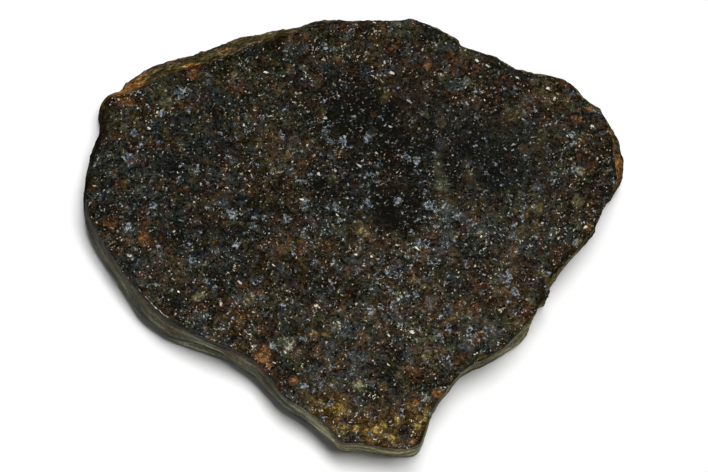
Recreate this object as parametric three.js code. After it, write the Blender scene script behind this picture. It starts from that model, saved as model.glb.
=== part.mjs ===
// A polished slice of a stony meteorite, an ordinary chondrite, as one solid stone.
// Two sawn and lapped faces lie parallel, one up and one down. Between them runs the rim,
// the stone's own weathered outside, which leans out in some places and in under the face in others.
// Millimetres, +Z up. The origin is the middle of the underside's box, on the surface it rests on.
import * as THREE from "three";
import { mergeVertices } from "three/addons/utils/BufferGeometryUtils.js";

// The slice, from the sawn underside to the polished face.
const THICKNESS = 4.2;

// The sharp edges that sawing left are rubbed round by this much.
const ARRIS = 0.18;

// The rim stands out a little between its two edges.
const BELLY = 0.12;

// The edge of the polished face, clockwise from above: x, y and lean.
// Lean is how far the foot of the rim stands out beyond that point, or in under it where negative.
const EDGE = [
  [-18.8, 11.2, 1.0], [-17.9, 11.4, 1.35], [-17.0, 11.8, 1.95], [-15.4, 12.6, 2.3], [-13.8, 13.4, 2.4],
  [-11.6, 14.0, 2.4], [-9.7, 14.7, 2.5], [-8.0, 15.5, 2.3], [-6.2, 16.1, 2.0], [-4.2, 16.8, 1.7],
  [-2.3, 17.5, 1.2], [-0.2, 17.7, 0.8], [2.0, 17.7, 1.1], [3.8, 17.8, 0.6], [4.4, 17.9, 0.6],
  [6.0, 17.2, 0.9], [7.5, 16.3, 1.0], [8.3, 15.6, 0.9], [10.0, 15.0, 0.9], [10.7, 14.7, 1.2],
  [12.2, 13.8, 0.6], [13.9, 13.2, 0.5], [16.0, 12.8, 0.5], [17.1, 12.1, 0.6], [17.6, 11.3, 0.3],
  [19.0, 10.2, 0.3], [19.7, 8.6, 0.9], [20.0, 6.6, 1.0], [20.2, 4.8, 0.1], [19.5, 3.0, -0.6],
  [18.6, 1.2, -0.2], [17.4, -0.5, -0.3], [16.0, -2.1, -0.25], [14.9, -3.4, 0.0], [14.7, -4.0, 0.3],
  [14.9, -4.4, 0.2], [14.6, -4.8, -0.5], [14.2, -5.3, -0.6], [13.2, -6.8, 0.0], [11.8, -8.3, -0.2],
  [10.2, -9.5, -0.45], [8.5, -10.4, -0.55], [7.1, -11.9, -0.25], [6.0, -13.5, -0.1], [5.3, -15.4, -0.1],
  [4.9, -16.3, -0.35], [3.9, -16.7, -0.55], [2.4, -16.6, -0.5], [0.2, -16.2, -0.4], [-0.9, -16.1, -0.25],
  [-2.0, -14.9, 0.05], [-3.7, -13.6, 0.05], [-5.3, -12.6, 0.05], [-6.2, -11.2, 0.3], [-7.2, -10.0, 0.25],
  [-9.3, -8.9, -0.1], [-11.5, -8.0, -0.1], [-14.0, -6.6, 0.4], [-16.3, -4.4, 0.6], [-18.2, -1.8, 0.5],
  [-19.6, 0.3, 0.3], [-20.4, 2.2, 0.3], [-20.4, 4.4, 0.45], [-19.8, 6.8, 0.7], [-19.2, 9.3, 0.55],
];

// The rim's relief, from broad lumps to the low ledges that run round it.
// Around and down count the bumps round the whole rim and from edge to edge; height is in mm.
const RELIEF = [
  { around: 26, down: 2, height: 0.16, seed: 1 },
  { around: 58, down: 3, height: 0.1, seed: 2 },
  { around: 40, down: 6, height: 0.08, seed: 3 },
];

// The relief fades in over this share of the rim's height below the polished face.
const RELIEF_STARTS = 0.14;

// How finely the solid is divided.
const STATIONS = 230;
const WALL_ROWS = 9;
const ARRIS_ROWS = 2;

const lerp = THREE.MathUtils.lerp;
const smooth = (x) => x * x * (3 - 2 * x);

// A repeatable random height from 0 to 1 at a lattice point.
function latticeHeight(i, j, seed) {
  const wild = Math.sin(i * 127.1 + j * 311.7 + seed * 74.7) * 43758.5453;
  return wild - Math.floor(wild);
}

// Smooth lattice noise from -1 to 1, closed round the rim: turn and depth run from 0 to 1.
function bumps(turn, depth, { around, down, seed }) {
  const x = turn * around;
  const y = depth * down;
  const [i, j] = [Math.floor(x), Math.floor(y)];
  const [fx, fy] = [smooth(x - i), smooth(y - j)];
  const at = (di, dj) => latticeHeight((i + di) % around, j + dj, seed);
  return 2 * lerp(lerp(at(0, 0), at(1, 0), fx), lerp(at(0, 1), at(1, 1), fx), fy) - 1;
}

// How far the rim stands out from the face's edge at a depth from 0, the face, to 1, the underside.
function standOut(turn, depth, lean) {
  const relief = RELIEF.reduce((sum, layer) => sum + layer.height * bumps(turn, depth, layer), 0);
  const fade = smooth(Math.min(1, depth / RELIEF_STARTS));
  return lean * Math.sin((depth * Math.PI) / 2) + BELLY * Math.sin(depth * Math.PI) + relief * fade;
}

// Heights of the rim's rows and how far each is drawn in where an arris rounds it, from the top down.
function rimRows() {
  const rows = [];
  for (let i = 0; i <= ARRIS_ROWS; i++) {
    const angle = (i / ARRIS_ROWS) * (Math.PI / 2);
    rows.push({ z: THICKNESS - ARRIS * (1 - Math.cos(angle)), drawnIn: ARRIS * (1 - Math.sin(angle)) });
  }
  const wall = THICKNESS - 2 * ARRIS;
  for (let i = 1; i < WALL_ROWS; i++) {
    rows.push({ z: THICKNESS - ARRIS - (wall * i) / WALL_ROWS, drawnIn: 0 });
  }
  for (let i = ARRIS_ROWS; i >= 0; i--) {
    const angle = (i / ARRIS_ROWS) * (Math.PI / 2);
    rows.push({ z: ARRIS * (1 - Math.cos(angle)), drawnIn: ARRIS * (1 - Math.sin(angle)) });
  }
  return rows;
}

// The stations round the edge: a point, the way out from the stone, and the lean there.
function edgeStations() {
  const curve = new THREE.CatmullRomCurve3(EDGE.map((row) => new THREE.Vector3(...row)), true);
  curve.arcLengthDivisions = EDGE.length * 20;
  return Array.from({ length: STATIONS }, (_, i) => {
    const turn = i / STATIONS;
    const point = curve.getPointAt(turn);
    const along = curve.getTangentAt(turn);
    const out = new THREE.Vector2(-along.y, along.x).normalize();
    return { turn, point, out };
  });
}

// The closed surface: rings of the rim from the top down, with a flat face inside the first and the last.
function sliceGeometry() {
  const stations = edgeStations();
  const rings = rimRows().map(({ z, drawnIn }) =>
    stations.map(({ turn, point, out }) => {
      const away = standOut(turn, 1 - z / THICKNESS, point.z) - drawnIn;
      return new THREE.Vector3(point.x + out.x * away, point.y + out.y * away, z);
    }),
  );
  const places = rings.flat();
  const faces = [];
  for (let row = 0; row + 1 < rings.length; row++) {
    for (let i = 0; i < STATIONS; i++) {
      const next = (i + 1) % STATIONS;
      const [a, b] = [row * STATIONS + i, row * STATIONS + next];
      const [c, d] = [a + STATIONS, b + STATIONS];
      faces.push([a, b, d], [a, d, c]);
    }
  }
  const foot = (rings.length - 1) * STATIONS;
  const outline = (ring) => ring.map((p) => new THREE.Vector2(p.x, p.y));
  for (const [a, b, c] of THREE.ShapeUtils.triangulateShape(outline(rings[0]), [])) {
    faces.push([a, b, c]);
  }
  for (const [a, b, c] of THREE.ShapeUtils.triangulateShape(outline(rings.at(-1)), [])) {
    faces.push([foot + a, foot + c, foot + b]);
  }
  const geometry = new THREE.BufferGeometry().setFromPoints(places);
  geometry.setIndex(faces.flat());
  return centred(mergeVertices(geometry));
}

// Moves the box's middle over the origin; the underside is already at height 0.
function centred(geometry) {
  geometry.computeBoundingBox();
  const middle = geometry.boundingBox.getCenter(new THREE.Vector3());
  geometry.translate(-middle.x, -middle.y, 0);
  geometry.computeVertexNormals();
  return geometry;
}

const stone = new THREE.MeshStandardMaterial({ color: 0x37332b, roughness: 0.4, metalness: 0.05 });
const slice = new THREE.Mesh(sliceGeometry(), stone);
slice.name = "meteorite_slice";

const meteorite = new THREE.Group();
meteorite.add(slice);

export default meteorite;
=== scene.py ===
import math

import bpy
import numpy as np
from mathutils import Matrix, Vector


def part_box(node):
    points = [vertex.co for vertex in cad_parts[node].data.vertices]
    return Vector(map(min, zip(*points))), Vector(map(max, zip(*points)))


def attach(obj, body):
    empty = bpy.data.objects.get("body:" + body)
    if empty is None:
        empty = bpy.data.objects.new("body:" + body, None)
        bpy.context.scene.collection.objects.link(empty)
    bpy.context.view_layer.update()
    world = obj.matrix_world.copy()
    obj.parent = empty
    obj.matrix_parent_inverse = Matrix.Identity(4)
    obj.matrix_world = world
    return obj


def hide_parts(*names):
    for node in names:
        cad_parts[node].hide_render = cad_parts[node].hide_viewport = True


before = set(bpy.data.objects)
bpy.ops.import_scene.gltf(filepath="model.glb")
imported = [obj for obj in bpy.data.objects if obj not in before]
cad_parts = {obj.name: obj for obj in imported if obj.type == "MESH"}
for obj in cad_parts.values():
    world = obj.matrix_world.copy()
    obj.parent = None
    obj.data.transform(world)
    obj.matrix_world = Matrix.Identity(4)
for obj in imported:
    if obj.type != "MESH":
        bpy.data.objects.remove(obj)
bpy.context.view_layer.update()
mm = 0.001

# A polished slice of an ordinary chondrite. The stone is one surface worked out on a grid: round the slice
# one way, and the other way from the middle of the polished face, over the edge, down the natural rim and in
# underneath. Lengths are in millimetres.
stoneForm = {
    "thickness": 4.2,
    "arris": 0.18,                    # how far the sawn edges are rubbed round
    "belly": 0.12,                    # how far the rim stands out between its two edges
    "stations": 1150,                 # steps round the slice
    "wallRows": 40,
    "arrisRows": 6,
    "faceRings": (0.04, 0.15, 0.3, 0.5, 0.7, 0.85, 0.94, 0.985),    # shares of the way out on the flat faces
    "turning": 0.5,                   # the stretch over which the way out is evened at corners
    # the edge of the polished face, clockwise from above: x, y, and lean, how far the foot stands out
    "edge": [
        (-18.8, 11.2, 1.25), (-17.9, 11.4, 1.55), (-17.0, 11.8, 1.95), (-15.4, 12.6, 2.3),
        (-13.8, 13.4, 2.4), (-11.6, 14.0, 2.4), (-9.7, 14.7, 2.5), (-8.0, 15.5, 2.3), (-6.2, 16.1, 2.0),
        (-4.2, 16.8, 1.7), (-2.3, 17.5, 1.2), (-0.2, 17.7, 0.8), (2.0, 17.7, 1.1), (3.8, 17.8, 0.6),
        (4.4, 17.9, 0.6), (6.0, 17.2, 0.9), (7.5, 16.3, 1.0), (8.3, 15.6, 0.9), (10.0, 15.0, 0.9),
        (10.7, 14.7, 1.2), (12.2, 13.8, 0.6), (13.9, 13.2, 0.5), (16.0, 12.8, 0.5), (17.1, 12.1, 0.6),
        (17.6, 11.3, 0.3), (19.0, 10.2, 0.3), (19.7, 8.6, 0.9), (20.0, 6.6, 1.0), (20.2, 4.8, 0.1),
        (19.5, 3.0, -0.6), (18.6, 1.2, -0.2), (17.4, -0.5, -0.3), (16.0, -2.1, -0.25), (14.9, -3.4, 0.0),
        (14.7, -4.0, 0.1), (14.9, -4.4, -0.25), (14.6, -4.8, -0.5), (14.2, -5.3, -0.6), (13.2, -6.8, 0.0),
        (11.8, -8.3, -0.2), (10.2, -9.5, -0.45), (8.5, -10.4, -0.55), (7.1, -11.9, -0.25),
        (6.0, -13.5, -0.1), (5.3, -15.4, -0.1), (4.9, -16.3, -0.35), (3.9, -16.7, -0.55), (2.4, -16.6, -0.5),
        (0.2, -16.2, -0.4), (-0.9, -16.1, -0.25), (-2.0, -14.9, 0.05), (-3.7, -13.6, 0.05),
        (-5.3, -12.6, 0.05), (-6.2, -11.2, 0.3), (-7.2, -10.0, 0.25), (-9.3, -8.9, -0.1),
        (-11.5, -8.0, -0.1), (-14.0, -6.6, 0.4), (-16.3, -4.4, 0.6), (-18.2, -1.8, 0.5), (-19.6, 0.3, 0.3),
        (-20.4, 2.2, 0.3), (-20.4, 4.4, 0.45), (-19.8, 6.8, 0.7), (-19.2, 9.3, 0.55),
    ],
    # relief of the rim: bumps round the whole rim, bumps from edge to edge, height, seed
    "broadRelief": [(26, 2, 0.16, 1), (58, 3, 0.1, 2), (40, 6, 0.08, 3)],
    "reliefStarts": 0.14,             # share of the height over which the broad relief fades in
    "streaks": [(70, 22, 0.035, 11), (150, 34, 0.02, 12)],
    "grains": [(190, 8, 0.09, 21), (420, 17, 0.045, 22), (560, 26, 0.03, 23)],
    "fineFades": (0.08, 0.05),        # shares of the height over which both fade, at face and foot
    "waxyGrains": 0.25,               # how much of the grains is left where there is no rind
    # chips along the arris: count, depth, seed, then the level that bumps have to top, and the way down
    "nicks": [(300, 0.09, 31), (520, 0.05, 32), (120, 0.05, 33)],
    "nickLevel": 0.15,
    "nickReach": 0.35,
    # the grainy rind: the way its side faces and the shares of that between which it starts, the stretch over
    # which that is evened, and how the line where it starts wanders, given as relief is
    "rindSide": (0.3, 0.95, -0.65, -0.1),
    "rindTurning": 3.5,
    "rindWanders": [(60, 5, 0.28, 41), (190, 14, 0.18, 42)],
}
faceHeight = stoneForm["thickness"]
finishes = {"polished": 0, "waxy": 1, "sawn": 2, "rind": 3}      # the order of the stone's materials


def smooth(x):
    # eases from 0 to 1: 3x squared less 2x cubed
    x = np.clip(x, 0, 1)
    return x * x * (3 - 2 * x)


def latticeHeight(i, j, seed):
    # a repeatable height from 0 to 1: the fraction of a large multiple of a sine
    wild = np.sin(i * 127.1 + j * 311.7 + seed * 74.7) * 43758.5453
    return wild - np.floor(wild)


def bumps(turn, depth, around, down, seed):
    # heights at lattice points, from -1 to 1, eased between them, and closed round the rim
    x, y = turn * around, depth * down
    i, j = np.floor(x), np.floor(y)
    fx, fy = smooth(x - i), smooth(y - j)
    near, far = i % around, (i + 1) % around
    upper = latticeHeight(near, j, seed) * (1 - fx) + latticeHeight(far, j, seed) * fx
    lower = latticeHeight(near, j + 1, seed) * (1 - fx) + latticeHeight(far, j + 1, seed) * fx
    return 2 * (upper * (1 - fy) + lower * fy) - 1


def relief(turn, depth, layers):
    # the sum of all layers of bumps, each times its height
    return sum(height * bumps(turn, depth, around, down, seed) for around, down, height, seed in layers)


def edgeCurve(points, turns, fine=60):
    # a closed cubic through the points, spaced by the root of their distance, then measured by its length
    p0, p1, p2, p3 = (np.roll(points, k, axis=0) for k in (1, 0, -1, -2))
    gaps = [np.sqrt(np.linalg.norm(b - a, axis=1))[:, None] for a, b in ((p0, p1), (p1, p2), (p2, p3))]
    d0, d1, d2 = gaps
    m1 = ((p1 - p0) / d0 - (p2 - p0) / (d0 + d1) + (p2 - p1) / d1) * d1
    m2 = ((p2 - p1) / d1 - (p3 - p1) / (d1 + d2) + (p3 - p2) / d2) * d1
    s = np.linspace(0, 1, fine, endpoint=False)[None, :, None]
    p1, p2, m1, m2 = (a[:, None, :] for a in (p1, p2, m1, m2))
    curve = p1 + m1 * s + (3 * (p2 - p1) - 2 * m1 - m2) * s ** 2 + (2 * (p1 - p2) + m1 + m2) * s ** 3
    curve = curve.reshape(-1, 3)
    curve = np.vstack([curve, curve[:1]])
    length = np.concatenate([[0], np.cumsum(np.linalg.norm(np.diff(curve, axis=0), axis=1))])
    return np.stack([np.interp(turns * length[-1], length, curve[:, k]) for k in range(3)], 1)


def wayOut(points, turning):
    # the level normal of the edge, evened over a stretch by a bell curve round the closed ring
    along = np.roll(points, -1, axis=0)[:, :2] - np.roll(points, 1, axis=0)[:, :2]
    step = np.linalg.norm(along, axis=1).mean() / 2
    out = np.stack([-along[:, 1], along[:, 0]], 1)
    out /= np.linalg.norm(out, axis=1)[:, None]
    count = len(points)
    far = (np.arange(count) + count // 2) % count - count // 2
    bell = np.exp(-0.5 * (far * step / turning) ** 2)
    even = [np.fft.ifft(np.fft.fft(out[:, k]) * np.fft.fft(bell / bell.sum())).real for k in (0, 1)]
    even = np.stack(even, 1)
    return even / np.linalg.norm(even, axis=1)[:, None]


def rimRows(form):
    # heights from the face down, and how far a quarter round at either edge draws each row in
    turn = np.linspace(0, math.pi / 2, form["arrisRows"] + 1)
    fall, drawn = form["arris"] * (1 - np.cos(turn)), form["arris"] * (1 - np.sin(turn))
    wall = np.linspace(form["thickness"] - form["arris"], form["arris"], form["wallRows"] + 1)[1:-1]
    heights = np.concatenate([form["thickness"] - fall, wall, fall[::-1]])
    drawnIn = np.concatenate([drawn, np.zeros(len(wall)), drawn[::-1]])
    return heights, drawnIn


def rindShare(form, out):
    # how far the way out agrees with the rind's side, eased from none to all
    x, y, low, high = form["rindSide"]
    return smooth((out[:, 0] * x + out[:, 1] * y - low) / (high - low))


def standOut(form, turn, depth, lean, rind, fine):
    # lean by a quarter sine, belly by a half sine, and the broad relief, faded in below the face;
    # where it is to be fine, streaks and grains as well, less the chips, which die away downwards
    shape = lean * np.sin(depth * math.pi / 2) + form["belly"] * np.sin(depth * math.pi)
    shape = shape + relief(turn, depth, form["broadRelief"]) * smooth(depth / form["reliefStarts"])
    if fine:
        atFace, atFoot = form["fineFades"]
        fade = smooth(depth / atFace) * smooth((1 - depth) / atFoot)
        left = form["waxyGrains"] + (1 - form["waxyGrains"]) * rind
        streaks, grains = relief(turn, depth, form["streaks"]), relief(turn, depth, form["grains"])
        shape = shape + (streaks * (1 - rind) + grains * left) * fade
        chip = sum(height * np.maximum(0, bumps(turn, 0.5, count, 1, seed) - form["nickLevel"])
                   for count, height, seed in form["nicks"])
        shape = shape - chip * np.exp(-depth * form["thickness"] / form["nickReach"])
    return shape


def stoneGrid(form, fine):
    # rows of points: every row is the edge, moved out by the rim's shape, or drawn in towards the middle
    stations = form["stations"]
    turns = np.arange(stations) / stations
    edge = edgeCurve(np.array(form["edge"]), turns)
    out = wayOut(edge, form["turning"])
    rind = rindShare(form, wayOut(edge, form["rindTurning"]))
    heights, drawnIn = rimRows(form)
    depth = 1 - heights / form["thickness"]
    away = standOut(form, turns[None, :], depth[:, None], edge[None, :, 2], rind[None, :], fine)
    away = away - drawnIn[:, None]
    rim = edge[None, :, :2] + out[None, :, :] * away[..., None]
    rim = np.concatenate([rim, np.broadcast_to(heights[:, None, None], rim.shape[:2] + (1,))], 2)
    share = np.array(form["faceRings"])[:, None, None]
    level = np.ones((len(share), stations, 1))
    top = np.concatenate([rim[:1, :, :2] * share, level * form["thickness"]], 2)
    bottom = np.concatenate([rim[-1:, :, :2] * share[::-1], level * 0], 2)
    return np.concatenate([top, rim, bottom]), edge, rind


def rimEnds(form, rows):
    # the first and the last row of the rim, where it meets the two flat faces
    return len(form["faceRings"]), rows - len(form["faceRings"]) - 1


def gridFaces(rows, count):
    # quads between neighbouring rows, and a fan of triangles at each pole, the last two points
    r, i = np.meshgrid(np.arange(rows - 1), np.arange(count), indexing="ij")
    n = (i + 1) % count
    quads = np.stack([r * count + i, r * count + n, (r + 1) * count + n, (r + 1) * count + i], -1)
    k = np.arange(count)
    m = (k + 1) % count
    last = (rows - 1) * count
    topFan = np.stack([np.full(count, rows * count), m, k], 1)
    bottomFan = np.stack([np.full(count, rows * count + 1), last + k, last + m], 1)
    return quads.reshape(-1, 4), topFan, bottomFan


def quadParts(form, rows, count):
    # the row and the station of every quad, and whether it lies in the polished face or in the rim
    row, station = np.repeat(np.arange(rows - 1), count), np.tile(np.arange(count), rows - 1)
    first, last = rimEnds(form, rows)
    return row, station, row < first, (row >= first) & (row < last)


def newObject(name, data):
    item = bpy.data.objects.new(name, data)
    bpy.context.scene.collection.objects.link(item)
    return item


def fillMesh(name, places, quads, fans):
    # a mesh from whole arrays, the quads before the triangles
    corners = np.concatenate([quads.ravel(), fans.ravel()])
    sizes = np.concatenate([np.full(len(quads), 4), np.full(len(fans), 3)])
    starts = np.concatenate([[0], np.cumsum(sizes)[:-1]])
    mesh = bpy.data.meshes.new(name)
    mesh.vertices.add(len(places))
    mesh.vertices.foreach_set("co", (places * mm).ravel())
    mesh.loops.add(len(corners))
    mesh.loops.foreach_set("vertex_index", corners.astype(np.int32))
    mesh.polygons.add(len(sizes))
    mesh.polygons.foreach_set("loop_start", starts.astype(np.int32))
    mesh.update(calc_edges=True)
    return mesh


# How the stone is laid out flat for its own texture map, in pixels and pixels per millimetre.
bakeLayout = {"size": 1024, "gap": 4, "topScale": 16.3, "bottomScale": 11.4, "rimScale": 20.5, "strips": 3}


def bakeMap(form, layout, grid, edge, places, quads, topFan, bottomFan):
    # for every corner of every face: top and underside seen flat, and the rim unrolled in upright strips
    rows, count = grid.shape[:2]
    first, last = rimEnds(form, rows)
    size, gap, strips = layout["size"], layout["gap"], layout["strips"]
    low, high = places.min(0), places.max(0)
    profile = np.linalg.norm(np.diff(grid[first:last + 1], axis=0), axis=2).mean(1)
    down = np.concatenate([[0], np.cumsum(profile)])
    length = np.linalg.norm(np.roll(edge, -1, axis=0)[:, :2] - edge[:, :2], axis=1).sum()
    perStrip = math.ceil(count / strips)
    alongScale = min(layout["rimScale"], (size - 2 * gap) / (length / strips + 1))
    stripWide = down[-1] * layout["rimScale"] + gap
    stripsLeft = size - gap - strips * stripWide

    def topAt(p):
        # from above, in the map's upper left
        flat = np.stack([p[..., 0] - low[0], p[..., 1] - low[1]], -1)
        return flat * layout["topScale"] + [gap, size - gap - (high[1] - low[1]) * layout["topScale"]]

    def bottomAt(p):
        # from below, in the lower left
        flat = np.stack([high[0] - p[..., 0], p[..., 1] - low[1]], -1)
        return flat * layout["bottomScale"] + [gap, gap]

    def rimAt(row, station, strip):
        # up along the edge, and to the left from face to foot
        u = stripsLeft + strip * stripWide + (down[-1] - down[row]) * layout["rimScale"]
        v = gap + (station - strip * perStrip) * (length / count) * alongScale
        return np.stack([u, v], -1)

    row, station, isTop, isRim = quadParts(form, rows, count)
    isBottom = ~isTop & ~isRim
    quadMap = np.zeros((len(quads), 4, 2))
    quadMap[isTop] = topAt(places[quads[isTop]])
    quadMap[isBottom] = bottomAt(places[quads[isBottom]])
    rimRow, rimStation = row[isRim] - first, station[isRim]
    for corner, (below, on) in enumerate([(0, 0), (0, 1), (1, 1), (1, 0)]):
        quadMap[isRim, corner] = rimAt(rimRow + below, rimStation + on, rimStation // perStrip)
    parts = (quadMap, topAt(places[topFan]), bottomAt(places[bottomFan]))
    return np.concatenate([part.reshape(-1, 2) for part in parts]) / size


def faceFinishes(form, rind, rows, count):
    # which finish each face has: on the rim it is rind where the rind's share and its wandering top a half
    row, station, isTop, isRim = quadParts(form, rows, count)
    wander = relief(station / count, row / rows, form["rindWanders"])
    onRim = np.where(rind[station] + wander > 0.5, finishes["rind"], finishes["waxy"])
    ofQuads = np.where(isTop, finishes["polished"], np.where(isRim, onRim, finishes["sawn"]))
    ofFans = np.repeat([finishes["polished"], finishes["sawn"]], count)
    return np.concatenate([ofQuads, ofFans])


def stoneMesh(name, form, layout):
    grid, edge, rind = stoneGrid(form, True)
    plain = stoneGrid(form, False)[0]
    low, high = (np.array(c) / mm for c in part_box("meteorite_slice"))
    middle = (plain.min((0, 1)) + plain.max((0, 1))) / 2
    shift = np.array([(low[0] + high[0]) / 2 - middle[0], (low[1] + high[1]) / 2 - middle[1], 0])
    rows, count = grid.shape[:2]
    places = np.vstack([grid.reshape(-1, 3), [[0, 0, form["thickness"]], [0, 0, 0]]]) + shift
    print("edge and rim worked out, middle moved by", shift.round(4))

    quads, topFan, bottomFan = gridFaces(rows, count)
    mesh = fillMesh(name, places, quads, np.vstack([topFan, bottomFan]))
    uv = bakeMap(form, layout, grid, edge, places, quads, topFan, bottomFan)
    mesh.uv_layers.new(name="OFBake")
    mesh.uv_layers["OFBake"].data.foreach_set("uv", uv.ravel())
    layer = mesh.attributes.new("rind", "FLOAT", "POINT")
    layer.data.foreach_set("value", np.append(np.tile(rind, rows), [0, 0]).astype(np.float32))
    mesh.polygons.foreach_set("material_index", faceFinishes(form, rind, rows, count).astype(np.int32))
    mesh.polygons.foreach_set("use_smooth", np.ones(len(mesh.polygons), bool))
    mesh.validate()
    mesh.update()
    piece = newObject(name, mesh)

    # sharp where the flat faces meet the arris, so that both faces shade flat
    ends = np.zeros(len(mesh.edges) * 2, np.int32)
    mesh.edges.foreach_get("vertices", ends)
    rowOf = ends.reshape(-1, 2) // count
    sharp = (rowOf[:, 0] == rowOf[:, 1]) & np.isin(rowOf[:, 0], rimEnds(form, rows))
    flags = mesh.attributes.new("sharp_edge", "BOOLEAN", "EDGE")
    flags.data.foreach_set("value", sharp)
    print("stone mesh:", len(mesh.polygons), "faces")
    return piece, shift


# Camera: as the photograph looks, down on the slice and a little from its lower edge. The aim is the point of
# the edge table's own frame at the middle of the image.
view = {"tilt": 18.0, "lens": 150.0, "sensor": 36.0, "pixelsPerMm": 13.1, "imageWide": 708,
        "aim": (0.0, 0.0, 4.2), "clip": (0.01, 20)}


def makeCamera(view, shift):
    # stands back from the aim by the focal length in pixels over the pixels per millimetre
    away = view["lens"] / view["sensor"] * view["imageWide"] / view["pixelsPerMm"]
    tilt = math.radians(view["tilt"])
    place = np.array(view["aim"]) + shift + away * np.array([0, -math.sin(tilt), math.cos(tilt)])
    data = bpy.data.cameras.new("camera")
    data.lens, data.sensor_width = view["lens"], view["sensor"]
    data.clip_start, data.clip_end = view["clip"]
    camera = newObject("camera", data)
    camera.location = place * mm
    camera.rotation_euler = (tilt, 0, 0)
    bpy.context.scene.camera = camera


# Node helpers: each adds one node or a few and returns the socket that they give.
class Nodes:
    def __init__(self, tree):
        self.tree = tree

    def add(self, kind, inputs=(), out=0, **settings):
        node = self.tree.nodes.new(kind)
        for name, value in settings.items():
            setattr(node, name, value)
        for name, value in dict(inputs).items():
            if isinstance(value, bpy.types.NodeSocket):
                self.tree.links.new(value, node.inputs[name])
            else:
                node.inputs[name].default_value = value
        return node.outputs[out]

    def sum(self, op, a, b=None, c=None):
        values = {k: v for k, v in enumerate((a, b, c)) if v is not None}
        return self.add("ShaderNodeMath", values, operation=op)

    def times(self, a, b):
        return self.sum("MULTIPLY", a, b)

    def vector(self, op, a, b=None, c=None, out=0):
        values = {k: v for k, v in enumerate((a, b, c)) if v is not None}
        return self.add("ShaderNodeVectorMath", values, out, operation=op)

    def scaled(self, a, amount):
        return self.add("ShaderNodeVectorMath", {0: a, "Scale": amount}, operation="SCALE")

    def span(self, value, low, high, toLow=0.0, toHigh=1.0, kind="SMOOTHSTEP"):
        values = {"Value": value, "From Min": low, "From Max": high, "To Min": toLow, "To Max": toHigh}
        return self.add("ShaderNodeMapRange", values, interpolation_type=kind)

    def between(self, value, low, high):
        # from low to high as the value goes from 0 to 1
        return self.span(value, 0, 1, low, high, "LINEAR")

    def around(self, value, spread, middle):
        # the value less a half, times the spread, on top of the middle
        return self.sum("MULTIPLY_ADD", self.sum("SUBTRACT", value, 0.5), spread, middle)

    def noise(self, place, perMm, detail, rough, out=0):
        values = {"Vector": place, "Scale": perMm, "Detail": detail, "Roughness": rough}
        return self.add("ShaderNodeTexNoise", values, out)

    def bent(self, place, source, perMm, detail, rough, reach):
        # the place, moved by the noise's colour at the source less a half, times the reach
        push = self.vector("SUBTRACT", self.noise(source, perMm, detail, rough, 1), (0.5, 0.5, 0.5))
        return self.vector("ADD", place, self.scaled(push, reach))

    def turned(self, place, angle):
        values = {"Vector": place, "Angle": angle}
        return self.add("ShaderNodeVectorRotate", values, rotation_type="Z_AXIS")

    def cells(self, place, perMm, out, random=1.0):
        # out 0 is the distance from the cell's point, and out 1 the cell's three random values
        return self.add("ShaderNodeTexVoronoi", {"Vector": place, "Scale": perMm, "Randomness": random}, out)

    def mix(self, share, a, b):
        a, b = (c if isinstance(c, bpy.types.NodeSocket) else (*c, 1) for c in (a, b))
        return self.add("ShaderNodeMix", {0: share, 6: a, 7: b}, 2, data_type="RGBA")

    def blend(self, share, a, b):
        return self.add("ShaderNodeMix", {0: share, 2: a, 3: b}, data_type="FLOAT")

    def ramp(self, value, stops):
        node = self.tree.nodes.new("ShaderNodeValToRGB")
        self.tree.links.new(value, node.inputs[0])
        elements = node.color_ramp.elements
        while len(elements) < len(stops):
            elements.new(0.5)
        for element, (place, colour) in zip(elements, stops):
            element.position, element.color = place, (*colour, 1)
        return node.outputs[0]

    def split(self, colour, channel):
        return self.add("ShaderNodeSeparateColor", {0: colour}, channel)


# The rock. Colours are linear, a lift is a natural logarithm of brightness, and a noise is given by bumps per
# millimetre, detail and roughness.
rock = {
    "seed": (3.7, 1.9, 0.4),
    "bend": (0.9, 3, 0.6, 0.5),       # the noise and reach of the bending of all outlines
    "ragged": (6.0, 1, 0.5, 0.12),    # the same, for the small raggedness of grains
    "brightness": 0.0088,
    "floor": (0.003, 0.9),            # the darkest it gets, and how softly it gets there
    "clouds": [(2.3, 3, 2.3), (0.75, 3, 2.4), (0.2, 2, 1.8)],       # bumps per mm, detail, spread of lift
    "cloudRough": 0.55,
    "crystals": [(9.5, 1.7), (4.7, 1.2), (2.4, 0.7)],               # grains per mm, and their spread of lift
    "cool": (0.97, 1.06, 0.7), "warm": (1.5, 0.92, 0.24),
    "warmth": {"noise": (0.5, 3, 0.5), "from": 0.44, "to": 0.60},
    "stains": [
        {"tint": (1.85, 0.79, 0.22), "perMm": 0.6, "from": 0.54, "to": 0.61, "share": 0.85, "lift": 0.3},
        {"tint": (1.04, 1.07, 0.42), "perMm": 0.7, "from": 0.53, "to": 0.60, "share": 0.8, "lift": 0.2},
        {"tint": (1.48, 0.85, 0.6), "perMm": 0.6, "from": 0.54, "to": 0.62, "share": 0.8, "lift": -0.1},
        {"tint": (1.8, 0.82, 0.26), "perMm": 1.6, "from": 0.58, "to": 0.65, "share": 0.7, "lift": 0.4},
        {"tint": (0.82, 1.05, 1.05), "perMm": 1.1, "from": 0.55, "to": 0.61, "share": 0.75, "lift": 0.3},
    ],
    "stainNoise": (3, 0.5),           # detail and roughness
    "stainOffset": (17.0, 31.0, 9.0),                 # x is for each stain after the first
    # where the rock is fine and even: what is left there of the spread of lift, stains, metal's shine and ore
    "calm": {"edge": (1.25, 0.6), "spread": 0.65, "stain": 0.4, "shine": 0.48, "ore": 0.55,
             "places": [(8.8, 5.0, 4.2), (12.2, 5.6, 3.0), (4.4, 8.8, 3.0), (0.0, 8.4, 2.8),
                        (2.7, 1.4, 2.2)]},
    "local": 0.15,                    # how far flecks and specks take the tint of the rock around them
}
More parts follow.
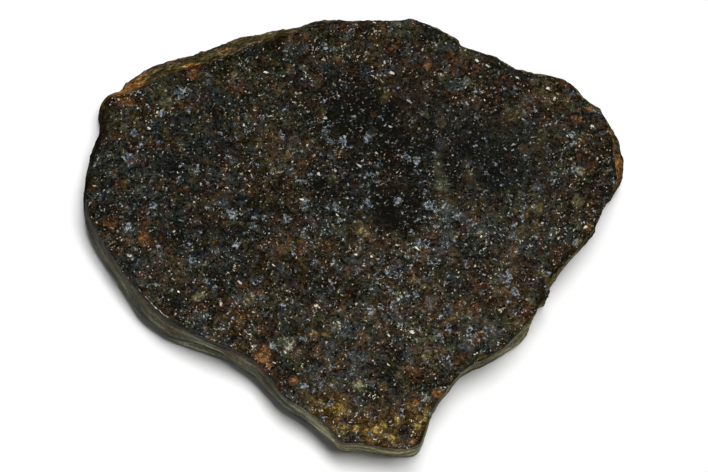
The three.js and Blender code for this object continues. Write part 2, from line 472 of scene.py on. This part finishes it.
chondrules = {
    "perMm": 0.95, "random": 0.9, "radius": (0.2, 0.46), "edge": (1.15, 0.75),
    "shown": 0.4, "step": 0.02,       # the random value above which a cell has one, and how sharply
    "share": 0.8, "lifts": (-0.8, 1.1),
    "tints": [(0.0, (1.0, 1.04, 0.7)), (0.25, (1.1, 1.03, 0.5)), (0.45, (1.45, 0.92, 0.32)),
              (0.62, (0.88, 1.03, 1.08)), (0.8, (1.8, 0.8, 0.3)), (1.0, (1.06, 1.04, 0.6))],
}

# Iron sulphide in blue-grey patches. More cells have one near an x and y, from an outer to an inner radius.
ore = {
    "perMm": 1.35, "radius": (0.08, 0.26), "shown": (0.78, 0.42), "among": (5.0, -0.5, 12.0, 4.0),
    "offset": (9.0, 2.0, 27.0),
    "ragged": (3.8, 2, 0.6), "spread": 1.5, "typedSpread": 2.0,  # noise and size of the outline's raggedness
    "edge": (1.0, 0.9), "share": 0.9, "metal": 0.25,
    "noise": (4.6, 2, 0.6),
    "colours": [(0.40, (0.012, 0.015, 0.017)), (0.45, (0.05, 0.066, 0.075)),
                (0.53, (0.108, 0.134, 0.152)), (0.63, (0.36, 0.4, 0.42))],
    "places": [(-17.3, -0.4, 0.4), (-13.5, 10.6, 0.45), (-17.0, 7.3, 0.3), (-14.9, 8.9, 0.28),
               (-17.5, 5.3, 0.34), (-15.4, 1.4, 0.3), (-9.3, 0.6, 0.4), (-12.3, -3.0, 0.3),
               (-0.8, 6.7, 0.36), (-1.9, 6.6, 0.28), (-2.3, 7.4, 0.34), (1.0, 6.9, 0.34), (4.1, 5.2, 0.28),
               (4.9, 5.0, 0.28), (-3.8, 1.7, 0.34), (-1.4, 1.2, 0.34), (1.1, 1.6, 0.3), (3.4, 1.7, 0.34),
               (5.6, 1.3, 0.34), (6.9, 1.3, 0.26), (-5.2, 0.3, 0.34), (11.7, -4.4, 0.4), (12.2, -5.6, 0.34),
               (8.6, -9.2, 0.34)],
}

# Specks and metal flecks. Bright is the span of their own brightness.
specks = {
    "offset": (41.0, 3.0, 12.0), "noise": (4.6, 2, 0.6), "from": 0.662, "to": 0.70, "share": 0.9,
    "clusters": (0.8, 2, 0.5), "spread": 0.34, "tint": (1.05, 1.0, 0.78),
    "brightNoise": (2.7, 2, 0.5), "brightFrom": (0.4, 0.66), "bright": (0.05, 0.6),
}
flecks = {
    "sizes": [
        {"perMm": 1.7, "shown": 0.74, "radius": (0.035, 0.1), "bright": (0.2, 0.95),
         "turn": 0.6, "long": 2.0},
        {"perMm": 3.1, "shown": 0.8, "radius": (0.028, 0.06), "bright": (0.1, 0.65),
         "turn": 2.2, "long": 1.8},
        {"perMm": 5.6, "shown": 0.78, "radius": (0.025, 0.045), "bright": (0.1, 0.5),
         "turn": 1.4, "long": 1.5},
    ],
    "offset": (5.3, 2.2, 7.1),                        # x is for each size after the first
    "grit": (11.0, 1, 0.5), "spread": 1.8,            # noise and size of the grit at the edges
    "edge": (1.15, 0.75), "step": 0.01, "share": 0.95, "metal": 0.3,
    "contrast": 3.0,                                  # the power that makes most of them dim
    "tints": [(0.0, (1.1, 1.0, 0.68)), (0.4, (1.03, 1.0, 0.84)), (1.0, (0.97, 1.01, 0.98))],
}

# What stands out by itself, by kind. Each place is x, y and radius, and edge is where it begins and where it
# is full, in radii. Share is how far it takes the tint. The height is the face's, and the edge the soft one,
# where no other is given.
softEdge = (1.3, 0.3)
regions = [
    {"tint": (0.98, 1.03, 0.70), "share": 0.85, "lift": -0.95,  # the dark core
     "places": [(0.3, 8.6, 3.6), (2.0, 5.8, 3.4), (-1.8, 3.4, 2.4), (3.5, 1.0, 2.2)]},
    {"tint": (0.94, 1.05, 0.81), "share": 0.95, "lift": -0.42,  # dark and greenish
     "places": [(7.5, 6.2, 3.6), (11.0, 4.4, 2.8), (6.6, 8.6, 2.4)]},
    {"tint": (0.91, 1.05, 0.86), "share": 0.85, "lift": -0.1,  # grey, to the left
     "places": [(-18.2, 2.6, 2.6), (-15.5, 0.8, 3.2), (-12.5, 5.8, 3.4), (-10.0, -2.2, 3.0)]},
    {"tint": (1.14, 1.01, 0.48), "share": 0.8, "lift": -0.1,  # olive
     "places": [(-9.5, 11.4, 3.0), (-5.7, 12.4, 2.8), (-12.5, 10.6, 2.4)]},
    {"tint": (1.36, 0.95, 0.38), "share": 0.9, "lift": 0.15,  # a brown band
     "places": [(-6.4, 5.8, 2.4), (-4.9, 3.0, 2.4), (-4.5, -2.2, 2.6), (-5.7, -6.0, 2.4), (1.2, -3.0, 2.4),
                (3.5, -3.9, 2.2)]},
    {"tint": (1.55, 0.88, 0.44), "share": 0.9, "lift": 0.1,  # purple-brown
     "places": [(5.0, 12.2, 3.0), (8.8, 11.2, 3.0), (12.4, 10.4, 2.6)]},
    {"tint": (1.22, 0.98, 0.54), "share": 0.75, "lift": 0.05,  # brownish, right
     "places": [(15.7, 5.8, 2.6), (18.0, 5.0, 2.4), (14.9, 1.0, 3.0)]},
    {"tint": (0.98, 1.03, 0.82), "share": 0.85, "lift": 0.35,  # a paler grey
     "places": [(6.9, -1.4, 2.0), (9.8, -0.9, 2.2), (12.5, -1.5, 1.6)]},
    {"tint": (1.66, 0.86, 0.28), "share": 0.95, "lift": 0.5, "edge": (1.3, 0.4),        # red-brown
     "places": [(11.1, -5.4, 2.6), (12.4, -7.0, 2.0), (9.0, -7.6, 1.8), (-8.7, -7.6, 1.6),
                (5.5, -10.4, 1.6)]},
    {"tint": (1.34, 0.96, 0.38), "share": 0.88, "lift": 0.38,  # brown, above the tip
     "places": [(6.5, -6.5, 2.6), (2.6, -8.0, 2.8), (6.3, -10.2, 2.2), (-2.5, -12.0, 2.6)]},
    {"tint": (1.78, 0.87, 0.08), "share": 1.0, "lift": 0.75, "edge": (1.3, 0.4),        # the golden tip
     "places": [(2.0, -16.7, 2.4), (-1.6, -15.2, 2.0), (4.4, -15.2, 2.0)]},
    {"tint": (1.1, 1.01, 0.62), "share": 0.6, "lift": 0.0,  # plain, lower left
     "places": [(-13.3, -6.2, 3.0), (-15.6, -3.8, 2.6)]},
]
grains = [
    {"tint": (1.64, 0.91, 0.1), "share": 0.75, "lift": 0.0, "edge": (1.3, 0.5),  # gold over the tip
     "places": [(2.0, -16.7, 2.0), (-1.4, -15.0, 1.6), (4.4, -15.4, 1.6)]},
    {"tint": (1.02, 1.03, 0.72), "share": 0.95, "lift": 1.35, "edge": (1.1, 0.8),  # one pale grain
     "places": [(-4.9, -9.6, 0.55)]},
    {"tint": (1.18, 1.02, 0.42), "share": 0.9, "lift": 1.5, "edge": (1.15, 0.7),  # pale yellow
     "places": [(-11.8, -5.9, 0.5), (5.5, 8.8, 0.3), (17.1, 1.7, 0.5), (17.3, 4.2, 0.42), (6.8, 11.9, 0.3),
                (-9.3, 12.1, 0.3), (17.1, -1.6, 0.4), (14.75, -4.75, 0.3), (14.5, -4.2, 0.25)]},
    {"tint": (1.04, 1.05, 0.5), "share": 0.9, "lift": 0.85, "edge": (1.15, 0.6),  # pale green
     "places": [(-14.6, 9.9, 0.6), (-1.6, 3.4, 0.6), (-7.9, -6.1, 0.42), (0.4, -13.1, 0.6),
                (-4.1, -10.4, 0.38), (-5.7, -9.5, 0.45)]},
    {"tint": (1.35, 0.98, 0.36), "share": 0.9, "lift": 0.85, "edge": (1.25, 0.4),  # a golden-olive pair
     "places": [(0.67, -0.85, 0.7), (3.3, -1.1, 0.55)]},
    {"tint": (1.02, 1.06, 0.55), "share": 0.95, "lift": 1.35, "edge": (1.3, 0.4),  # one long pale lens
     "places": [(6.4, 5.4, 0.42), (6.45, 4.7, 0.5), (6.55, 4.0, 0.55), (6.7, 3.4, 0.55), (6.8, 2.8, 0.42)]},
    {"tint": (1.9, 0.79, 0.2), "share": 0.95, "lift": 1.2, "edge": (1.15, 0.65),  # orange
     "places": [(-6.9, -10.4, 0.85), (-6.7, -11.4, 0.5), (-7.6, -10.0, 0.35), (-16.0, -1.4, 0.6),
                (17.2, 8.4, 0.42), (1.5, 8.8, 0.28), (5.7, 12.8, 0.3), (-4.6, -12.5, 0.42), (13.1, 0.6, 0.28),
                (17.9, -0.4, 0.28), (4.6, -14.3, 0.3), (6.3, -13.5, 0.5), (4.4, -17.2, 0.4), (18.3, 9.3, 0.3),
                (-12.6, 12.2, 0.45), (-17.4, 9.9, 0.5), (-18.1, 10.0, 0.4)]},
    {"tint": (1.8, 0.8, 0.4), "share": 0.9, "lift": 0.4, "edge": (1.15, 0.6),  # dull red
     "places": [(-3.8, 9.0, 0.22), (11.7, 4.0, 0.22), (1.4, -0.1, 0.3), (9.8, 11.0, 0.3), (-7.7, 9.3, 0.35)]},
    {"tint": (1.46, 0.96, 0.18), "share": 0.9, "lift": 1.35, "edge": (1.25, 0.4),  # bright gold
     "places": [(-2.5, 9.0, 0.42), (14.2, 1.2, 0.45), (-3.1, -8.9, 0.35), (-2.1, -8.9, 0.35),
                (-8.6, -7.8, 0.42), (1.7, -16.3, 0.42), (2.2, -15.8, 0.42), (3.2, -15.6, 0.4),
                (2.8, -16.9, 0.34), (0.9, -16.5, 0.3), (0.1, -16.2, 0.34), (4.7, -16.0, 0.36),
                (2.5, 10.4, 0.42), (-6.2, 13.2, 0.35)]},
    {"tint": (1.42, 0.97, 0.16), "share": 0.95, "lift": 0.5, "edge": (1.15, 0.65),  # dull gold
     "places": [(9.6, -10.6, 0.4), (-1.3, -14.9, 0.38), (-0.7, -16.2, 0.38), (5.1, -15.4, 0.4),
                (-8.2, -9.9, 0.3), (-3.8, -13.5, 0.36), (2.2, -13.0, 0.42), (-5.1, 12.7, 0.35)]},
    {"tint": (1.35, 0.9, 0.8), "share": 0.8, "lift": -0.5, "edge": (1.1, 0.7),  # dark, in the tip
     "places": [(3.7, -16.5, 0.5), (-0.2, -17.1, 0.36), (3.6, -14.4, 0.45), (1.4, -15.1, 0.42),
                (-0.8, -15.6, 0.4)]},
]


def nearest(g, place, places, height):
    # the smallest of the distances to the places, each in radii of its own
    least = None
    for x, y, radius in places:
        far = g.times(g.vector("DISTANCE", place, (x, y, height), out=1), 1 / radius)
        least = far if least is None else g.sum("MINIMUM", least, far)
    return least


def grown(g, place, kinds, tint, lift):
    # each kind: the distance to the nearest of its places, eased from its edge to its full share
    for kind in kinds:
        far = nearest(g, place, kind["places"], kind.get("height", faceHeight))
        share = g.span(far, *kind.get("edge", softEdge))
        tint = g.mix(g.times(share, kind["share"]), tint, kind["tint"])
        lift = g.sum("MULTIPLY_ADD", share, kind["lift"], lift)
    return tint, lift


def reachIn(g, value, kind):
    # between the kind's two radii, in cells
    return g.between(value, *(radius * kind["perMm"] for radius in kind["radius"]))


def groundmass(g, seeded, bent, left):
    # clouds and crystals, as noise and as a random value for every cell, then regions, stains and the floor
    unrest = 0.0
    for perMm, detail, spread in rock["clouds"]:
        unrest = g.around(g.noise(seeded, perMm, detail, rock["cloudRough"]), spread, unrest)
    for perMm, spread in rock["crystals"]:
        unrest = g.around(g.split(g.cells(seeded, perMm, 1), 0), spread, unrest)
    lift = g.sum("MULTIPLY_ADD", unrest, left["spread"], math.log(rock["brightness"]))
    warmth = rock["warmth"]
    share = g.span(g.noise(seeded, *warmth["noise"]), warmth["from"], warmth["to"])
    tint = g.mix(share, rock["cool"], rock["warm"])
    tint, lift = grown(g, bent, regions, tint, lift)
    x, y, z = rock["stainOffset"]
    for number, stain in enumerate(rock["stains"]):
        field = g.noise(g.vector("ADD", bent, (x * number, y, z)), stain["perMm"], *rock["stainNoise"])
        share = g.times(g.span(field, stain["from"], stain["to"]), left["stain"])
        tint = g.mix(g.times(share, stain["share"]), tint, stain["tint"])
        lift = g.sum("MULTIPLY_ADD", share, stain["lift"], lift)
    darkest, soft = rock["floor"]
    return tint, g.sum("SMOOTH_MAX", lift, math.log(darkest), soft)


def withChondrules(g, seeded, tint, lift):
    # a radius, a tint and a lift for each chosen cell, from its random values
    distance = g.cells(seeded, chondrules["perMm"], 0, chondrules["random"])
    pick = g.cells(seeded, chondrules["perMm"], 1, chondrules["random"])
    reach = reachIn(g, g.split(pick, 0), chondrules)
    ball = g.span(g.sum("DIVIDE", distance, reach), *chondrules["edge"])
    level = chondrules["shown"]
    shown = g.span(g.split(pick, 1), level, level + chondrules["step"], kind="LINEAR")
    ball = g.times(g.times(ball, shown), chondrules["share"])
    tint = g.mix(ball, tint, g.ramp(g.split(pick, 2), chondrules["tints"]))
    return tint, g.sum("MULTIPLY_ADD", ball, g.between(g.split(pick, 0), *chondrules["lifts"]), lift)


def withOre(g, seeded, bent, colour, left):
    # ragged patches in chosen cells and at the listed places: the distance in radii, and noise on top
    spot = g.vector("ADD", seeded, ore["offset"])
    pick = g.cells(spot, ore["perMm"], 1)
    x, y, outer, inner = ore["among"]
    among = g.span(g.vector("DISTANCE", bent, (x, y, faceHeight), out=1), outer, inner, *ore["shown"])
    reach = reachIn(g, g.split(pick, 1), ore)
    chosen = g.sum("GREATER_THAN", g.split(pick, 0), among)
    reach = g.times(g.times(reach, left), chosen)
    edge = g.around(g.noise(spot, *ore["ragged"]), ore["spread"], 0.0)
    far = g.sum("MULTIPLY_ADD", edge, ore["perMm"], g.cells(spot, ore["perMm"], 0))
    far = g.sum("DIVIDE", far, g.sum("MAXIMUM", reach, 0.001))      # a cell that isn't chosen has no reach
    typed = g.sum("MULTIPLY_ADD", edge, ore["typedSpread"], nearest(g, bent, ore["places"], faceHeight))
    patch = g.span(g.sum("MINIMUM", far, typed), *ore["edge"])
    own = g.ramp(g.noise(spot, *ore["noise"]), ore["colours"])
    return g.mix(g.times(patch, ore["share"]), colour, own), patch


def withSpecks(g, seeded, tint, colour, left):
    # ragged specks in clusters: where one fine noise tops a level that a broad one moves
    spot = g.vector("ADD", seeded, specks["offset"])
    field = g.around(g.noise(spot, *specks["clusters"]), specks["spread"], g.noise(spot, *specks["noise"]))
    share = g.span(field, specks["from"], specks["to"])
    bright = g.noise(spot, *specks["brightNoise"])
    bright = g.span(bright, *specks["brightFrom"], *specks["bright"], "LINEAR")
    bright = g.times(bright, left)
    shine = g.scaled(g.mix(rock["local"], specks["tint"], tint), bright)
    return g.mix(g.times(share, specks["share"]), colour, shine)


def withFlecks(g, seeded, tint, colour, metal, left):
    # bright metal in chosen cells, from small to smallest: the distance in radii, and grit on top
    spread = flecks["spread"]
    grit = g.sum("MULTIPLY_ADD", g.noise(seeded, *flecks["grit"]), spread, -spread / 2)
    x, y, z = flecks["offset"]
    for number, fleck in enumerate(flecks["sizes"]):
        narrow = (1 / fleck["long"], 1.0, 1.0)
        spot = g.vector("MULTIPLY_ADD", g.turned(seeded, fleck["turn"]), narrow, (x * number, y, z))
        far = g.cells(spot, fleck["perMm"], 0)
        mark = g.cells(spot, fleck["perMm"], 1)
        reach = reachIn(g, g.split(mark, 1), fleck)
        shape = g.span(g.sum("ADD", g.sum("DIVIDE", far, reach), grit), *flecks["edge"])
        level = fleck["shown"]
        chosen = g.span(g.split(mark, 0), level, level + flecks["step"], kind="LINEAR")
        shape = g.times(shape, chosen)
        bright = g.between(g.sum("POWER", g.split(mark, 0), flecks["contrast"]), *fleck["bright"])
        bright = g.times(bright, left)
        shine = g.mix(rock["local"], g.ramp(g.split(mark, 2), flecks["tints"]), tint)
        shine = g.scaled(shine, bright)
        colour = g.mix(g.times(shape, flecks["share"]), colour, shine)
        metal = g.sum("MAXIMUM", metal, g.times(shape, flecks["metal"]))
    return colour, metal


def rockPattern(g, place):
    # place is in mm. Colour is a tint times a brightness, whose logarithm is a sum of what each size of grain
    # adds. Ore, specks and flecks lie over it
    bent = g.bent(place, place, *rock["bend"])
    rough = g.bent(bent, place, *rock["ragged"])
    seeded = g.vector("ADD", rough, rock["seed"])
    calm = g.span(nearest(g, bent, rock["calm"]["places"], faceHeight), *rock["calm"]["edge"])
    left = {name: g.between(calm, 1.0, rock["calm"][name]) for name in ("spread", "stain", "shine", "ore")}
    tint, lift = groundmass(g, seeded, bent, left)
    tint, lift = withChondrules(g, seeded, tint, lift)
    tint, lift = grown(g, rough, grains, tint, lift)
    colour = g.scaled(tint, g.sum("EXPONENT", lift))
    colour, patch = withOre(g, seeded, bent, colour, left["ore"])
    colour = withSpecks(g, seeded, tint, colour, left["shine"])
    metal = g.times(patch, ore["metal"])
    colour, metal = withFlecks(g, seeded, tint, colour, metal, left["shine"])
    return colour, metal, seeded


# The finishes. Gloss is the reflection at the shader's own socket, rough is from smoothest to roughest, and
# from is the span of the noise that makes it so.
polished = {"gloss": 0.22, "rough": (0.16, 0.3), "noise": (2.2, 3, 0.6), "from": (0.3, 0.7)}
sawn = {
    "gloss": 0.25, "rough": (0.42, 0.55), "noise": (1.0, 2, 0.6), "from": (0.3, 0.7), "metal": 0.5,
    "marks": {"turn": 0.5, "along": 0.25, "across": 7.0, "deep": 0.00002},
}

# The rim: waxy and streaked on the near side, and a dull grainy rind on the rest.
rim = {
    "gloss": 0.035, "rindGloss": 0.0, "rough": (0.5, 0.7), "from": (0.35, 0.65), "bump": 0.00013,
    "arrisRough": (4.0, 4.06),                            # heights over which the rubbed edge grows smoother
    "worn": {"height": 4.1, "edge": (0.85, 1.1), "rough": (0.16, 0.75),  # rubbed bright, and elsewhere
             "places": [(-15.2, -6.7, 1.9), (-12.7, -8.9, 0.4), (-11.9, -9.2, 0.3), (-17.8, -3.6, 0.5)]},
    "waxyTint": (1.02, 1.03, 0.66), "waxyBrightness": 0.072, "streakSpread": 6.5, "waxyGrain": 3.5,
    "rindTints": ((1.32, 0.96, 0.36), (1.1, 1.02, 0.58)), "rindBrightness": 0.037, "grainSpread": 7.5,
    "rindTintNoise": (0.9, 3, 0.6), "rindTintFrom": (0.4, 0.6),
    "grain": (3.4, 4, 0.72),
    "rindClouds": [(0.45, 3.0), (1.4, 3.6)], "cloudNoise": (3, 0.6),
    "fragments": (2.7, 1.0),                              # per mm, and their spread of lift
    # streaks run round the rim: bent in long waves, then stretched along the plan
    "streaks": {"along": 0.24, "down": 1.6, "noise": (1.0, 4, 0.55), "wave": (0.6, 2, 0.5), "high": 0.6},
    "crest": {"offset": (7.0, 3.0, 5.0), "noise": (0.8, 2, 0.5), "from": 0.93, "to": 0.985, "lift": 0.4},
    "torn": (1.3, 3, 0.6, 1.8),                           # noise and reach of the bending of patches
    "shade": {"from": 2.8, "to": 4.0, "lift": -0.9, "tint": (1.3, 0.96, 0.5)},     # darker up to the face
    # heights over which rock gives way to rind, and the noise and size of the raggedness
    "border": {"from": 4.10, "to": 3.88, "noise": (1.6, 3, 0.6), "spread": 0.7},
}
# Patches on the rim. The orange, tan, brown and notch patches and the single spot are the rim's own colour.
# The lighter south-east and near-left patches and the darker west and left ones are partly its own colour and
# partly painted light and shade, for how each side of the wall is lit.
rimPatchesAndPaintedLight = [
    # lighter: partly the rim's own colour, partly painted light
    {"tint": (1.12, 1.03, 0.52), "share": 0.9, "lift": 0.75, "edge": (1.2, 0.5), "height": 2.1,  # south-east
     "places": [(2.0, -18.0, 4.2), (-2.6, -16.8, 2.2), (7.0, -12.5, 3.0), (12.0, -8.0, 3.0),
                (16.0, -3.0, 2.5)]},
    # darker: partly the rim's own colour, partly painted shade
    {"tint": (1.12, 1.02, 0.56), "share": 0.8, "lift": -1.3, "edge": (1.25, 0.5), "height": 3.0,  # west, dark
     "places": [(-20.6, 6.0, 4.0), (-20.6, 2.0, 3.0)]},
    # lighter: partly the rim's own colour, partly painted light
    {"tint": (1.02, 1.03, 0.68), "share": 0.5, "lift": 0.4, "edge": (1.25, 0.4), "height": 2.0,  # near left
     "places": [(-12.1, -9.1, 2.2), (-8.0, -11.3, 2.4), (-5.0, -14.0, 2.4), (-2.6, -16.4, 1.6)]},
    # darker: partly the rim's own colour, partly painted shade
    {"tint": (1.0, 1.04, 0.62), "share": 0.5, "lift": -0.32, "edge": (1.25, 0.4), "height": 2.0,  # left, dark
     "places": [(-18.8, -3.0, 2.4), (-16.8, -5.4, 1.8)]},
    {"tint": (1.3, 0.95, 0.5), "share": 0.8, "lift": -0.1, "edge": (1.2, 0.4), "height": 3.0,  # brown
     "places": [(-18.8, -2.0, 1.4), (-13.5, -7.5, 1.5), (-9.5, -10.0, 1.2), (-6.3, -12.0, 1.3)]},
    {"tint": (1.82, 0.83, 0.22), "share": 0.95, "lift": 0.55, "edge": (1.25, 0.4), "height": 2.3,  # orange
     "places": [(-18.9, 10.7, 1.2), (-18.1, 11.2, 1.3), (-17.1, 11.8, 1.2), (-16.2, 12.3, 1.0),
                (20.4, 5.4, 0.9), (20.4, 4.2, 0.9)]},
    {"tint": (1.35, 1.0, 0.3), "share": 0.9, "lift": 1.2, "edge": (1.25, 0.5), "height": 3.6,  # the notch
     "places": [(15.0, -5.2, 0.6)]},
    {"tint": (1.8, 0.84, 0.24), "share": 0.95, "lift": 0.85, "edge": (1.25, 0.4), "height": 3.6,  # orange
     "places": [(-18.3, 10.5, 0.9), (-17.6, 11.0, 1.0), (-16.7, 11.7, 0.9), (-12.5, 13.0, 0.8),
                (19.5, 7.8, 0.9), (20.3, 4.8, 1.1), (19.9, 6.4, 0.7)]},
    {"tint": (1.6, 0.9, 0.26), "share": 0.8, "lift": 0.45, "height": 3.4,  # north, tan
     "places": [(-14.6, 13.4, 0.7), (-10.0, 14.6, 0.8), (-7.2, 15.6, 0.6), (-4.6, 16.4, 0.6),
                (-2.0, 17.0, 0.6)]},
    {"tint": (1.75, 0.84, 0.3), "share": 0.9, "lift": 0.7, "edge": (1.25, 0.3), "height": 3.9,  # one spot
     "places": [(-7.0, -10.9, 0.9)]},
]


def materialNodes(name):
    material = bpy.data.materials.new(name)
    material.use_nodes = True
    material.node_tree.nodes.clear()
    g = Nodes(material.node_tree)
    return material, g, g.scaled(g.add("ShaderNodeTexCoord", out=3), 1 / mm)


def shade(g, colour, gloss, rough, metal=None, height=None, deep=0.0):
    # one Principled surface, with bump where a height is given
    shader = g.tree.nodes.new("ShaderNodeBsdfPrincipled")
    target = g.tree.nodes.new("ShaderNodeOutputMaterial")
    g.tree.links.new(shader.outputs[0], target.inputs[0])
    g.tree.links.new(colour, shader.inputs["Base Color"])
    g.tree.links.new(rough, shader.inputs["Roughness"])
    shader.inputs["Specular IOR Level"].default_value = gloss
    if metal is not None:
        g.tree.links.new(metal, shader.inputs["Metallic"])
    if height is not None:
        normal = g.add("ShaderNodeBump", {"Strength": 1.0, "Distance": deep, "Height": height})
        g.tree.links.new(normal, shader.inputs["Normal"])


def polishedMaterial(name, finish):
    material, g, place = materialNodes(name)
    colour, metal, seeded = rockPattern(g, place)
    rough = g.span(g.noise(seeded, *finish["noise"]), *finish["from"], *finish["rough"], "LINEAR")
    shade(g, colour, finish["gloss"], rough, metal)
    return material


def sawnMaterial(name, finish):
    # the same rock, dulled by long fine marks of the saw: noise stretched along one direction
    material, g, place = materialNodes(name)
    colour, metal, _ = rockPattern(g, place)
    marks = finish["marks"]
    stretched = g.vector("MULTIPLY", g.turned(place, marks["turn"]), (marks["along"], marks["across"], 1.0))
    lines = g.noise(stretched, *finish["noise"])
    rough = g.span(lines, *finish["from"], *finish["rough"], "LINEAR")
    metal = g.times(metal, finish["metal"])
    shade(g, colour, finish["gloss"], rough, metal, lines, marks["deep"])
    return material


def rimLifts(g, seeded, height, flow, streak, grain):
    # the logarithm of brightness and the tint, first of the waxy side and then of the rind. A crest is where
    # a second noise passes a half: 1 less the size of twice the noise less 1
    crest = g.noise(g.vector("ADD", flow, rim["crest"]["offset"]), *rim["crest"]["noise"])
    crest = g.sum("SUBTRACT", 1.0, g.sum("ABSOLUTE", g.sum("MULTIPLY_ADD", crest, 2.0, -1.0)))
    crest = g.span(crest, rim["crest"]["from"], rim["crest"]["to"])
    upper = g.span(height, rim["shade"]["from"], rim["shade"]["to"])
    waxy = g.around(streak, rim["streakSpread"], math.log(rim["waxyBrightness"]))
    waxy = g.sum("MULTIPLY_ADD", crest, rim["crest"]["lift"], waxy)
    waxy = g.sum("MULTIPLY_ADD", upper, rim["shade"]["lift"], waxy)
    waxy = g.around(grain, rim["waxyGrain"], waxy)
    waxyTint = g.mix(upper, rim["waxyTint"], rim["shade"]["tint"])

    grainy = g.around(grain, rim["grainSpread"], math.log(rim["rindBrightness"]))
    for perMm, spread in rim["rindClouds"]:
        grainy = g.around(g.noise(seeded, perMm, *rim["cloudNoise"]), spread, grainy)
    perMm, spread = rim["fragments"]
    grainy = g.around(g.split(g.cells(seeded, perMm, 1), 0), spread, grainy)
    rindTint = g.span(g.noise(flow, *rim["rindTintNoise"]), *rim["rindTintFrom"])
    return waxy, waxyTint, grainy, g.mix(rindTint, *rim["rindTints"])


def rimMaterial(name, gloss):
    material, g, place = materialNodes(name)
    inside, _, seeded = rockPattern(g, place)
    rind = g.add("ShaderNodeAttribute", out=2, attribute_name="rind")
    height = g.add("ShaderNodeSeparateXYZ", {0: place}, 2)
    streaks = rim["streaks"]
    wave = g.times(g.noise(place, *streaks["wave"]), streaks["high"])
    flow = g.vector("ADD", place, g.scaled((0, 0, 1), wave))
    flow = g.vector("MULTIPLY", flow, (streaks["along"], streaks["along"], streaks["down"]))
    streak = g.noise(flow, *streaks["noise"])
    grain = g.noise(seeded, *rim["grain"])
    waxy, waxyTint, grainy, rindTint = rimLifts(g, seeded, height, flow, streak, grain)
    torn = g.bent(place, place, *rim["torn"])
    tint, lift = g.mix(rind, waxyTint, rindTint), g.blend(rind, waxy, grainy)
    # the rim's patches, partly painted light and shade, go over the waxy side and the rind
    tint, lift = grown(g, torn, rimPatchesAndPaintedLight, tint, lift)
    outside = g.scaled(tint, g.sum("EXPONENT", lift))

    # the rock shows below the rubbed edge, as far as the rind has chipped
    border = rim["border"]
    level = g.around(g.noise(seeded, *border["noise"]), border["spread"], height)
    colour = g.mix(g.span(level, border["from"], border["to"]), inside, outside)
    rough = g.span(streak, *rim["from"], *rim["rough"], "LINEAR")
    worn = rim["worn"]
    edgeRough = g.span(nearest(g, place, worn["places"], worn["height"]), *worn["edge"], *worn["rough"])
    rough = g.span(height, *rim["arrisRough"], rough, edgeRough)
    shade(g, colour, gloss, rough, None, g.blend(rind, streak, grain), rim["bump"])
    return material


# Studio: a pale floor, a broad soft light overhead, a small one that glints along the near left edge,
# and dim surroundings that are lighter towards the horizon.
studio = {
    "floor": {"reach": 6.0, "colour": (0.86, 0.86, 0.86), "rough": 0.9, "gloss": 0.1},
    "key": {"place": (0.52, 0.43, 3.0), "size": (2.3, 1.0), "power": 117.0},
    "glint": {"place": (-1.16, -0.72, 0.61), "size": (0.1, 0.1), "power": 75.0},
    # the white that is seen, and how bright the rest sees it from the horizon up to the zenith
    "world": {"seen": (0.97, 0.97, 0.97), "horizon": 0.22, "zenith": 0.04, "from": 0.1, "to": 0.75},
}


def softbox(name, light):
    # a flat oval light at its place, turned towards the stone
    data = bpy.data.lights.new(name, "AREA")
    data.shape = "ELLIPSE"
    data.size, data.size_y = light["size"]
    data.energy = light["power"]
    lamp = newObject(name, data)
    lamp.location = light["place"]
    lamp.rotation_euler = lamp.location.to_track_quat("Z", "Y").to_euler()
    return lamp


def makeFloor(card):
    reach = card["reach"]
    mesh = bpy.data.meshes.new("studio_floor")
    corners = [(-reach, -reach, 0), (reach, -reach, 0), (reach, reach, 0), (-reach, reach, 0)]
    mesh.from_pydata(corners, [], [(0, 1, 2, 3)])
    floor = newObject("studio_floor", mesh)
    matte = bpy.data.materials.new("floor_card")
    matte.use_nodes = True
    shader = matte.node_tree.nodes["Principled BSDF"]
    shader.inputs["Base Color"].default_value = (*card["colour"], 1)
    shader.inputs["Roughness"].default_value = card["rough"]
    shader.inputs["Specular IOR Level"].default_value = card["gloss"]
    mesh.materials.append(matte)


def makeSurroundings(sky):
    # what is seen past the floor is plain, and what lights the stone fades with the height it comes from
    world = bpy.data.worlds.new("surroundings")
    bpy.context.scene.world = world
    world.use_nodes = True
    tree = world.node_tree
    tree.nodes.clear()
    g = Nodes(tree)
    height = g.add("ShaderNodeSeparateXYZ", {0: g.add("ShaderNodeTexCoord")}, 2)
    level = g.span(height, sky["from"], sky["to"], sky["horizon"], sky["zenith"])
    unseen = g.scaled((1, 1, 1), level)
    background = tree.nodes.new("ShaderNodeBackground")
    target = tree.nodes.new("ShaderNodeOutputWorld")
    tree.links.new(g.mix(g.add("ShaderNodeLightPath"), unseen, sky["seen"]), background.inputs["Color"])
    tree.links.new(background.outputs[0], target.inputs[0])


stone, shift = stoneMesh("meteorite_stone", stoneForm, bakeLayout)
makeCamera(view, shift)
stone.data.materials.append(polishedMaterial("polished_chondrite", polished))
stone.data.materials.append(rimMaterial("waxy_rim", rim["gloss"]))
stone.data.materials.append(sawnMaterial("sawn_chondrite", sawn))
stone.data.materials.append(rimMaterial("weathered_rind", rim["rindGloss"]))
print("stone materials made")
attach(stone, "root")
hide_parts("meteorite_slice")
makeFloor(studio["floor"])
softbox("key_softbox", studio["key"]).visible_glossy = False
softbox("glint_softbox", studio["glint"]).visible_diffuse = False
makeSurroundings(studio["world"])
bpy.context.scene.view_settings.view_transform = "Standard"
print("studio made")
